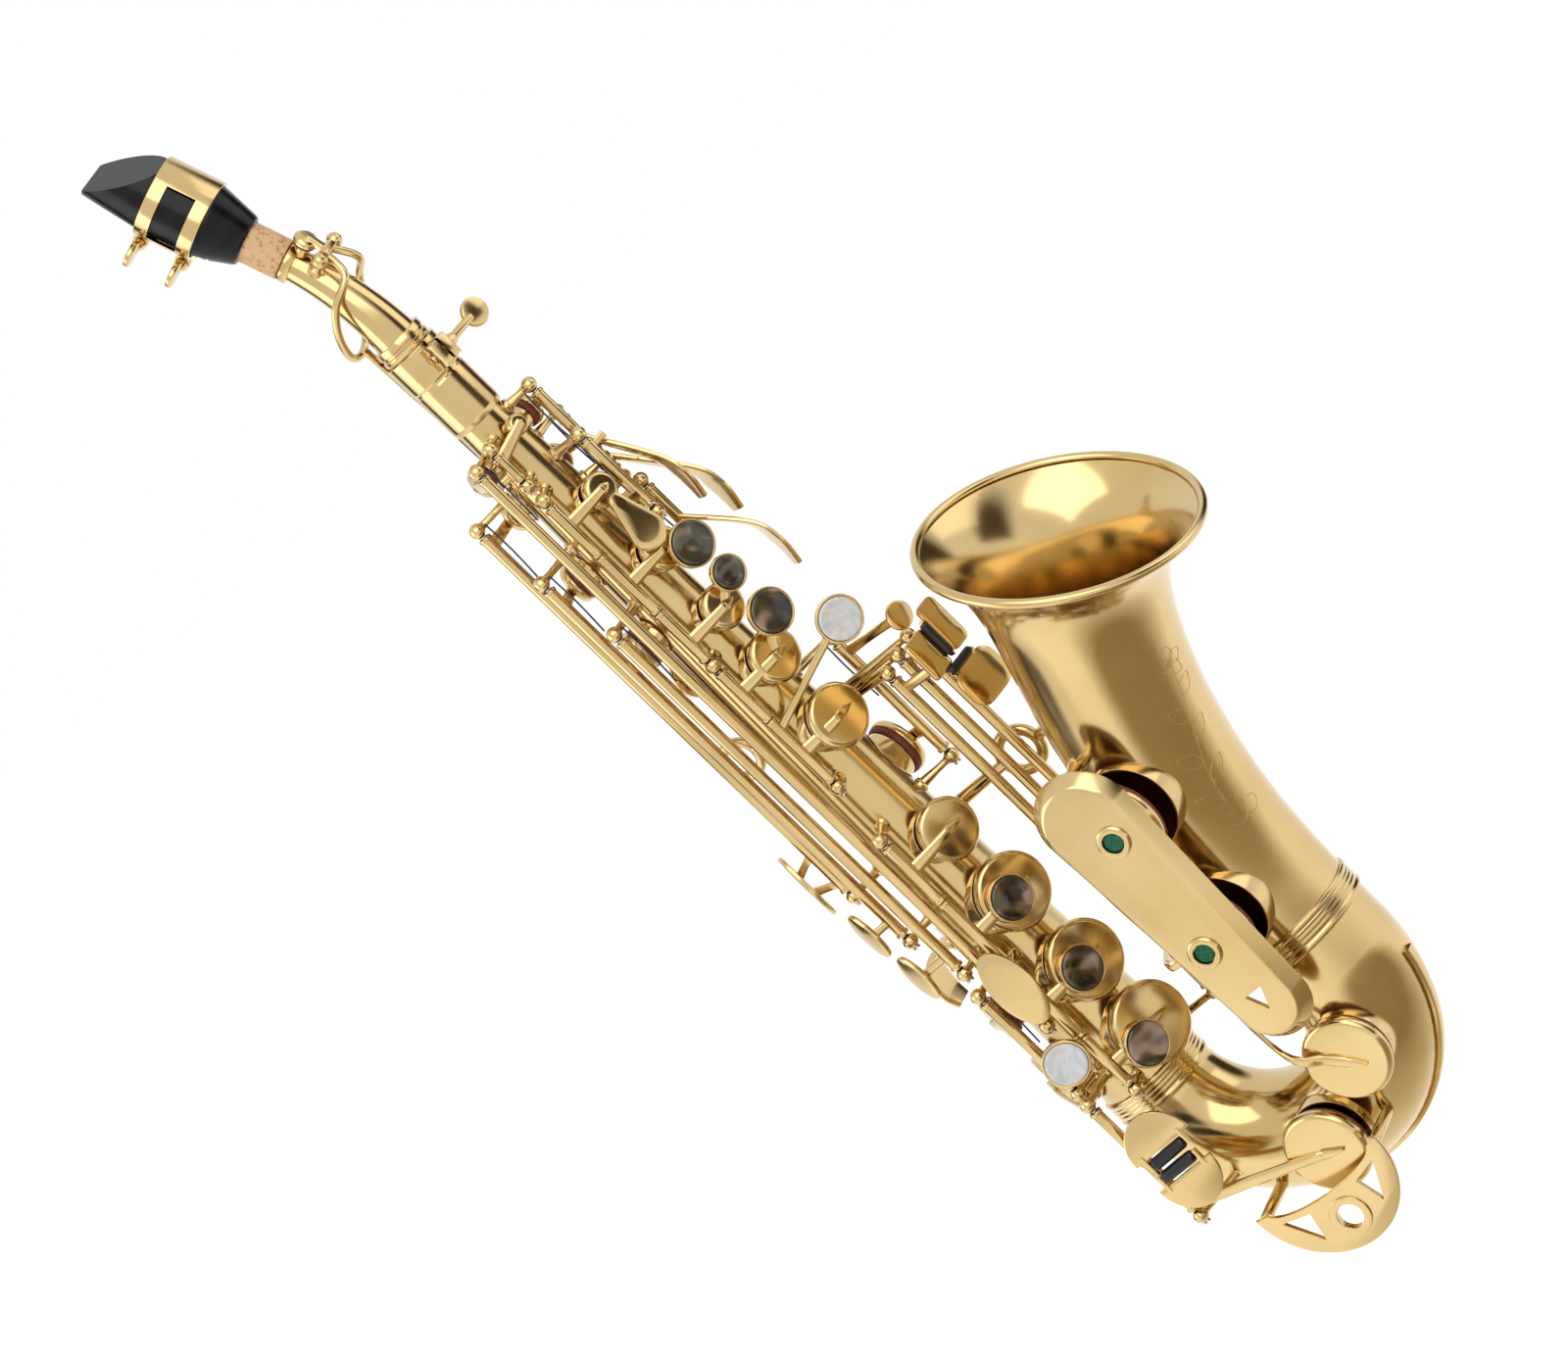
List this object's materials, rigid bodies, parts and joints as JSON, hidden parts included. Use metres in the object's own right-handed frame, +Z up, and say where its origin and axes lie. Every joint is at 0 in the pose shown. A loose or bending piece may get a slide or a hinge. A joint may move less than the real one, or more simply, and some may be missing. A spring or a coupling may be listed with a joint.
{
  "type": "soprano saxophone",
  "caption": "Curved soprano saxophone of lacquered brass with mouthpiece, swivelling neck, sprung keys, finger pearls and key guards.",
  "frame": {"origin": "middle of the strap ring's hole, where the instrument hangs from its neck strap", "axes": "+Z up the body tube to the neck, -Y to the front where the bell is, +Y to the player, -X the player's right"},
  "size_m": [0.0916, 0.1999, 0.5034],
  "materials": {
    "lacquered_brass": "polished under clear gold lacquer",
    "ebonite": "polished hard rubber",
    "cork": "sanded sheet cork",
    "cane": "shaved cane",
    "dark_shell": "polished dark shell",
    "white_shell": "polished white shell",
    "felt": "pressed green felt",
    "roller_black": "turned black resin"
  },
  "bodies": {
    "body": {"body_tube": "lacquered_brass", "bow": "lacquered_brass", "bell": "lacquered_brass", "body_to_bow_ring": "lacquered_brass", "bow_to_bell_ring": "lacquered_brass", "neck_receiver": "lacquered_brass", "bell_key_guard": "lacquered_brass", "low_bb_felt": "felt", "low_b_felt": "felt", "bow_key_guard": "lacquered_brass", "bell_brace": "lacquered_brass", "strap_ring": "lacquered_brass", "thumb_hook": "lacquered_brass", "thumb_rest": "lacquered_brass"},
    "neck": {"neck_tube": "lacquered_brass", "neck_cork": "cork"},
    "mouthpiece": {"mouthpiece": "ebonite", "reed": "cane", "ligature": "lacquered_brass"},
    "a_key": {"a_key": "lacquered_brass", "a_pearl": "dark_shell"},
    "b_key": {"b_key": "lacquered_brass", "b_pearl": "dark_shell"},
    "bis_key": {"bis_key": "lacquered_brass", "bis_pearl": "dark_shell"},
    "body_octave_key": {"body_octave_key": "lacquered_brass"},
    "c_key": {"c_key": "lacquered_brass"},
    "d_key": {"d_key": "lacquered_brass", "d_pearl": "dark_shell"},
    "e_key": {"e_key": "lacquered_brass", "e_pearl": "dark_shell"},
    "f_key": {"f_key": "lacquered_brass", "f_pearl": "dark_shell"},
    "front_f_key": {"front_f_key": "lacquered_brass"},
    "fs_key": {"fs_key": "lacquered_brass"},
    "g_key": {"g_key": "lacquered_brass", "g_pearl": "white_shell"},
    "gs_key": {"gs_key": "lacquered_brass"},
    "high_e_key": {"high_e_key": "lacquered_brass"},
    "high_fs_key": {"high_fs_key": "lacquered_brass"},
    "low_b_key": {"low_b_key": "lacquered_brass"},
    "low_bb_key": {"low_bb_key": "lacquered_brass"},
    "low_c_key": {"low_c_key": "lacquered_brass"},
    "low_cs_key": {"low_cs_key": "lacquered_brass"},
    "low_eb_key": {"low_eb_key": "lacquered_brass"},
    "neck_octave_key": {"neck_octave_key": "lacquered_brass"},
    "octave_thumb_key": {"octave_thumb_key": "lacquered_brass"},
    "palm_d_key": {"palm_d_key": "lacquered_brass"},
    "palm_eb_key": {"palm_eb_key": "lacquered_brass"},
    "palm_f_key": {"palm_f_key": "lacquered_brass"},
    "side_bb_key": {"side_bb_key": "lacquered_brass"},
    "side_c_key": {"side_c_key": "lacquered_brass"},
    "trill_fs_key": {"trill_fs_key": "lacquered_brass", "trill_pearl": "white_shell"},
    "neck_clamp_screw": {"neck_clamp_screw": "lacquered_brass"},
    "ligature_screw_rear": {"ligature_screw_rear": "lacquered_brass"},
    "ligature_screw_front": {"ligature_screw_front": "lacquered_brass"},
    "low_eb_roller": {"low_eb_roller": "roller_black"},
    "low_c_roller": {"low_c_roller": "roller_black"}
  },
  "joints": [
    {"name": "neck_swivel", "type": "hinge", "parent": "body", "child": "neck", "pos_m": [0, -0.02355, 0.165], "axis": [0, 0, 1], "range_deg": [-20, 20]},
    {"name": "mouthpiece_slide", "type": "slide", "parent": "neck", "child": "mouthpiece", "axis": [0, 0.3746, 0.9272], "range_m": [-0.002, 0.006]},
    {"name": "neck_clamp_screw_turn", "type": "hinge", "parent": "body", "child": "neck_clamp_screw", "pos_m": [-0.00558, -0.03551, 0.1592], "axis": [0.9063, -0.4226, 0], "continuous": true},
    {"name": "ligature_screw_rear_turn", "type": "hinge", "parent": "mouthpiece", "child": "ligature_screw_rear", "pos_m": [0, 0.00977, 0.23181], "axis": [1, 0, 0], "continuous": true},
    {"name": "ligature_screw_front_turn", "type": "hinge", "parent": "mouthpiece", "child": "ligature_screw_front", "pos_m": [0, 0.01517, 0.24516], "axis": [1, 0, 0], "continuous": true},
    {"name": "low_eb_roller_turn", "type": "hinge", "parent": "low_eb_key", "child": "low_eb_roller", "pos_m": [-0.03703, -0.0321, -0.1725], "axis": [0.225, -0.9744, 0], "continuous": true},
    {"name": "low_c_roller_turn", "type": "hinge", "parent": "low_c_key", "child": "low_c_roller", "pos_m": [-0.03787, -0.03175, -0.1775], "axis": [0.1511, -0.9885, 0], "continuous": true},
    {"name": "a_key_turn", "type": "hinge", "parent": "body", "child": "a_key", "pos_m": [-0.01979, -0.03195, 0.01955], "axis": [0, 0, 1], "range_deg": [0, 9.47], "stiffness_Nm_per_rad": 0.05, "springref_deg": -20.05},
    {"name": "b_key_turn", "type": "hinge", "parent": "body", "child": "b_key", "pos_m": [-0.01979, -0.03195, 0.06935], "axis": [0, 0, 1], "range_deg": [0, 9.47], "stiffness_Nm_per_rad": 0.05, "springref_deg": -20.05},
    {"name": "bis_key_turn", "type": "hinge", "parent": "body", "child": "bis_key", "pos_m": [-0.01979, -0.03195, 0.0463], "axis": [0, 0, 1], "range_deg": [0, 9.47], "stiffness_Nm_per_rad": 0.05, "springref_deg": -20.05},
    {"name": "body_octave_key_turn", "type": "hinge", "parent": "body", "child": "body_octave_key", "pos_m": [-0.01607, -0.02908, 0.12], "axis": [0, 0, -1], "range_deg": [0, 7.91], "stiffness_Nm_per_rad": 0.05, "springref_deg": -20.05},
    {"name": "c_key_turn", "type": "hinge", "parent": "body", "child": "c_key", "pos_m": [-0.01979, -0.03195, 0.09255], "axis": [0, 0, 1], "range_deg": [0, 9.47]},
    {"name": "d_key_turn", "type": "hinge", "parent": "body", "child": "d_key", "pos_m": [-0.02631, -0.03313, -0.1397], "axis": [0, 0, 1], "range_deg": [0, 8.11], "stiffness_Nm_per_rad": 0.05, "springref_deg": -20.05},
    {"name": "e_key_turn", "type": "hinge", "parent": "body", "child": "e_key", "pos_m": [-0.02631, -0.03313, -0.11545], "axis": [0, 0, 1], "range_deg": [0, 8.11], "stiffness_Nm_per_rad": 0.05, "springref_deg": -20.05},
    {"name": "f_key_turn", "type": "hinge", "parent": "body", "child": "f_key", "pos_m": [-0.02631, -0.03313, -0.0822], "axis": [0, 0, 1], "range_deg": [0, 8.11], "stiffness_Nm_per_rad": 0.05, "springref_deg": -20.05},
    {"name": "front_f_key_turn", "type": "hinge", "parent": "body", "child": "front_f_key", "pos_m": [0.00209, -0.04344, 0.094], "axis": [0, 0, -1], "range_deg": [0, 8], "stiffness_Nm_per_rad": 0.05, "springref_deg": -20.05},
    {"name": "fs_key_turn", "type": "hinge", "parent": "body", "child": "fs_key", "pos_m": [-0.02631, -0.03313, -0.05595], "axis": [0, 0, 1], "range_deg": [0, 8.11]},
    {"name": "g_key_turn", "type": "hinge", "parent": "body", "child": "g_key", "pos_m": [-0.01979, -0.03195, -0.0047], "axis": [0, 0, 1], "range_deg": [0, 9.47], "stiffness_Nm_per_rad": 0.05, "springref_deg": -20.05},
    {"name": "gs_key_turn", "type": "hinge", "parent": "body", "child": "gs_key", "pos_m": [0.01268, -0.04739, -0.0165], "axis": [0, 0, -1], "range_deg": [0, 9.61], "stiffness_Nm_per_rad": 0.05, "springref_deg": -20.05},
    {"name": "high_e_key_turn", "type": "hinge", "parent": "body", "child": "high_e_key", "pos_m": [-0.01706, -0.0046, 0.02975], "axis": [0, 0, 1], "range_deg": [0, 9.17], "stiffness_Nm_per_rad": 0.05, "springref_deg": -20.05},
    {"name": "high_fs_key_turn", "type": "hinge", "parent": "body", "child": "high_fs_key", "pos_m": [-0.02536, -0.02621, 0.0035], "axis": [0, 0, 1], "range_deg": [0, 8.39], "stiffness_Nm_per_rad": 0.05, "springref_deg": -20.05},
    {"name": "low_b_key_turn", "type": "hinge", "parent": "body", "child": "low_b_key", "pos_m": [0.00598, -0.06502, -0.0725], "axis": [0, 0, 1], "range_deg": [0, 5.43], "stiffness_Nm_per_rad": 0.05, "springref_deg": -20.05},
    {"name": "low_bb_key_turn", "type": "hinge", "parent": "body", "child": "low_bb_key", "pos_m": [0.00898, -0.0706, -0.0475], "axis": [0, 0, 1], "range_deg": [0, 5.36], "stiffness_Nm_per_rad": 0.05, "springref_deg": -20.05},
    {"name": "low_c_key_turn", "type": "hinge", "parent": "body", "child": "low_c_key", "pos_m": [-0.03287, -0.02067, -0.18213], "axis": [0, 0, 1], "range_deg": [0, 4.31], "stiffness_Nm_per_rad": 0.05, "springref_deg": -20.05},
    {"name": "low_cs_key_turn", "type": "hinge", "parent": "body", "child": "low_cs_key", "pos_m": [0.00302, -0.05952, -0.0795], "axis": [0, 0, -1], "range_deg": [0, 3.64], "stiffness_Nm_per_rad": 0.05, "springref_deg": -20.05},
    {"name": "low_eb_key_turn", "type": "hinge", "parent": "body", "child": "low_eb_key", "pos_m": [-0.03287, -0.02067, -0.15987], "axis": [0, 0, 1], "range_deg": [0, 5.7], "stiffness_Nm_per_rad": 0.05, "springref_deg": -20.05},
    {"name": "neck_octave_key_turn", "type": "hinge", "parent": "neck", "child": "neck_octave_key", "pos_m": [0, -0.02878, 0.20471], "axis": [1, 0, 0], "range_deg": [0, 5]},
    {"name": "octave_thumb_key_turn", "type": "hinge", "parent": "body", "child": "octave_thumb_key", "pos_m": [0.0044, -0.00713, 0.062], "axis": [0, 0, -1], "range_deg": [0, 8], "stiffness_Nm_per_rad": 0.05, "springref_deg": -20.05},
    {"name": "palm_d_key_turn", "type": "hinge", "parent": "body", "child": "palm_d_key", "pos_m": [0.01647, -0.03737, 0.072], "axis": [0, 0, -1], "range_deg": [0, 10.39], "stiffness_Nm_per_rad": 0.05, "springref_deg": -20.05},
    {"name": "palm_eb_key_turn", "type": "hinge", "parent": "body", "child": "palm_eb_key", "pos_m": [0.01766, -0.03294, 0.1035], "axis": [0, 0, -1], "range_deg": [0, 11.17], "stiffness_Nm_per_rad": 0.05, "springref_deg": -20.05},
    {"name": "palm_f_key_turn", "type": "hinge", "parent": "body", "child": "palm_f_key", "pos_m": [0.00845, -0.03944, 0.11525], "axis": [0, 0, -1], "range_deg": [0, 11.88], "stiffness_Nm_per_rad": 0.05, "springref_deg": -20.05},
    {"name": "side_bb_key_turn", "type": "hinge", "parent": "body", "child": "side_bb_key", "pos_m": [-0.02494, -0.01825, -0.015], "axis": [0, 0, 1], "range_deg": [0, 8.39], "stiffness_Nm_per_rad": 0.05, "springref_deg": -20.05},
    {"name": "side_c_key_turn", "type": "hinge", "parent": "body", "child": "side_c_key", "pos_m": [-0.02208, -0.0108, 0.007], "axis": [0, 0, 1], "range_deg": [0, 8.76], "stiffness_Nm_per_rad": 0.05, "springref_deg": -20.05},
    {"name": "trill_fs_key_turn", "type": "hinge", "parent": "body", "child": "trill_fs_key", "pos_m": [-0.02668, -0.0169, -0.121], "axis": [0, 0, 1], "range_deg": [0, 8.94], "stiffness_Nm_per_rad": 0.05, "springref_deg": -20.05}
  ],
  "couplings": [
    {"joint": "neck_octave_key_turn", "follows": "octave_thumb_key_turn", "ratio": 0.625},
    {"joint": "c_key_turn", "follows": "a_key_turn", "ratio": 1},
    {"joint": "fs_key_turn", "follows": "f_key_turn", "ratio": 1}
  ]
}
